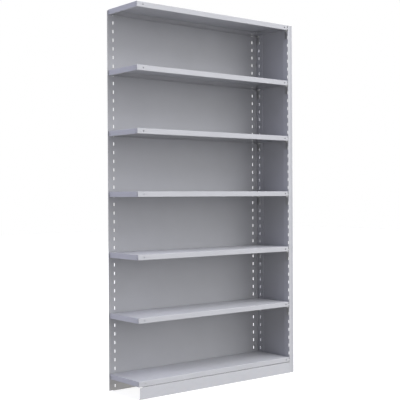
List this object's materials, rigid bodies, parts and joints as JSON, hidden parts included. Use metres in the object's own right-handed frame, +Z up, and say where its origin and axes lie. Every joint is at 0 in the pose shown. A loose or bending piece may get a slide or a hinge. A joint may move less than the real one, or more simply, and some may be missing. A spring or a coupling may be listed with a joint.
{
  "type": "boltless shelving bay",
  "caption": "Tall add-on bay of boltless steel shelving: folded shelves lift off hook-in clips between a slotted back panel and one closed upright at the right.",
  "frame": {"origin": "on the floor, under the middle of the outline", "axes": "+Z up, the open front faces -Y, the closed upright stands at +X"},
  "size_m": [1.2, 0.3, 2.2],
  "materials": {
    "post_paint": "satin light grey powder coat",
    "panel_paint": "satin light grey powder coat",
    "kick_paint": "satin light grey powder coat",
    "shelf_paint": "satin light grey powder coat",
    "clip_zinc": "bright zinc plate",
    "rivet_paint": "satin light grey powder coat"
  },
  "bodies": {
    "frame": {"front_post": "post_paint", "rear_post": "post_paint", "side_panel": "panel_paint", "back_panel": "panel_paint", "kick_plate": "kick_paint", "shelf_clip_front_1": "clip_zinc", "shelf_clip_front_2": "clip_zinc", "shelf_clip_front_3": "clip_zinc", "shelf_clip_front_4": "clip_zinc", "shelf_clip_front_5": "clip_zinc", "shelf_clip_front_6": "clip_zinc", "shelf_clip_front_7": "clip_zinc", "shelf_clip_rear_1": "clip_zinc", "shelf_clip_rear_2": "clip_zinc", "shelf_clip_rear_3": "clip_zinc", "shelf_clip_rear_4": "clip_zinc", "shelf_clip_rear_5": "clip_zinc", "shelf_clip_rear_6": "clip_zinc", "shelf_clip_rear_7": "clip_zinc", "rivet_side_front_1": "rivet_paint", "rivet_side_front_2": "rivet_paint", "rivet_side_front_3": "rivet_paint", "rivet_side_front_4": "rivet_paint", "rivet_side_front_5": "rivet_paint", "rivet_side_rear_1": "rivet_paint", "rivet_side_rear_2": "rivet_paint", "rivet_side_rear_3": "rivet_paint", "rivet_side_rear_4": "rivet_paint", "rivet_side_rear_5": "rivet_paint", "rivet_back_1": "rivet_paint", "rivet_back_2": "rivet_paint", "rivet_back_3": "rivet_paint", "rivet_back_4": "rivet_paint", "rivet_back_5": "rivet_paint"},
    "top_shelf": {"shelf_1": "shelf_paint"},
    "second_shelf": {"shelf_2": "shelf_paint"},
    "third_shelf": {"shelf_3": "shelf_paint"},
    "fourth_shelf": {"shelf_4": "shelf_paint"},
    "fifth_shelf": {"shelf_5": "shelf_paint"},
    "sixth_shelf": {"shelf_6": "shelf_paint"},
    "bottom_shelf": {"shelf_7": "shelf_paint"}
  },
  "joints": [
    {"name": "shelf_1_lift", "type": "slide", "parent": "frame", "child": "top_shelf", "axis": [0, 0, 1], "range_m": [0, 0.3]},
    {"name": "shelf_2_lift", "type": "slide", "parent": "frame", "child": "second_shelf", "axis": [0, 0, 1], "range_m": [0, 0.3]},
    {"name": "shelf_3_lift", "type": "slide", "parent": "frame", "child": "third_shelf", "axis": [0, 0, 1], "range_m": [0, 0.3]},
    {"name": "shelf_4_lift", "type": "slide", "parent": "frame", "child": "fourth_shelf", "axis": [0, 0, 1], "range_m": [0, 0.3]},
    {"name": "shelf_5_lift", "type": "slide", "parent": "frame", "child": "fifth_shelf", "axis": [0, 0, 1], "range_m": [0, 0.3]},
    {"name": "shelf_6_lift", "type": "slide", "parent": "frame", "child": "sixth_shelf", "axis": [0, 0, 1], "range_m": [0, 0.3]},
    {"name": "shelf_7_lift", "type": "slide", "parent": "frame", "child": "bottom_shelf", "axis": [0, 0, 1], "range_m": [0, 0.3]}
  ]
}
